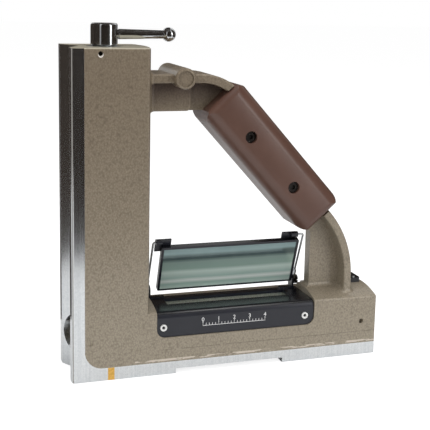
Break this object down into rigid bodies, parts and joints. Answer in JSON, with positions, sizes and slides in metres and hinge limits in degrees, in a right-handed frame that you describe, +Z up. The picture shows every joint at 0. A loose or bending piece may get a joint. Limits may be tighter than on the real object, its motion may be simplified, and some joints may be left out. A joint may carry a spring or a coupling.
{
  "type": "precision machinist level",
  "caption": "Right-angle machinist level with a magnetic column, a covered main vial, a folding reading mirror, a slanted insulated handle and a switch lever.",
  "frame": {"origin": "centre of the base's resting face", "axes": "+X along the base away from the column, -Y front with the vial cover's screws, +Z up the column"},
  "size_m": [0.2, 0.045, 0.2134],
  "materials": {
    "hammer_paint": "hammer finish paint on ground cast iron",
    "brass": "ground",
    "steel": "bright",
    "magnet_steel": "ground",
    "black_plate": "satin black",
    "aluminium_tube": "turned",
    "clear_glass": "clear",
    "mirror_glass": "silvered",
    "brown_moulding": "satin moulding"
  },
  "bodies": {
    "frame": {"frame_casting": "hammer_paint", "brass_spacer": "brass", "rotor_bearing": "brass", "spindle_bush": "brass", "bush_lock_screw": "steel", "vial_cover": "black_plate", "window_glass": "clear_glass", "cover_screws": "steel", "vial_sleeve": "aluminium_tube", "vial_plug_left": "brass", "vial_plug_right": "brass", "main_vial": "clear_glass", "vial_adjust_screw": "steel", "vial_spring": "steel", "hinge_bracket_left": "black_plate", "hinge_bracket_right": "black_plate", "hinge_screw_left": "steel", "hinge_screw_right": "steel", "bracket_screws": "steel", "grip_front": "brown_moulding", "grip_back": "brown_moulding", "grip_screws": "steel", "grip_nuts": "steel", "cross_vial_housing": "black_plate", "cross_vial": "clear_glass", "cross_vial_screws": "steel", "face_plugs": "steel", "boss_plugs": "hammer_paint"},
    "switch": {"magnet_rotor": "magnet_steel", "switch_spindle": "steel", "switch_hub": "steel", "switch_lever": "steel", "hub_set_screw": "steel"},
    "mirror_arms": {"mirror_arm_left": "steel", "mirror_arm_right": "steel"},
    "mirror": {"mirror_frame": "black_plate", "mirror_glass": "mirror_glass", "mirror_ear_left": "steel", "mirror_ear_right": "steel"}
  },
  "joints": [
    {"name": "switch_turn", "type": "hinge", "parent": "frame", "child": "switch", "pos_m": [-0.0765, 0, 0.207], "axis": [0, 0, 1], "range_deg": [0, 90]},
    {"name": "mirror_fold", "type": "hinge", "parent": "frame", "child": "mirror_arms", "pos_m": [0, 0.012, 0.0443], "axis": [1, 0, 0], "range_deg": [0, 60]},
    {"name": "mirror_tilt", "type": "hinge", "parent": "mirror_arms", "child": "mirror", "pos_m": [0, -0.0038, 0.0793], "axis": [1, 0, 0], "range_deg": [0, 40]}
  ]
}
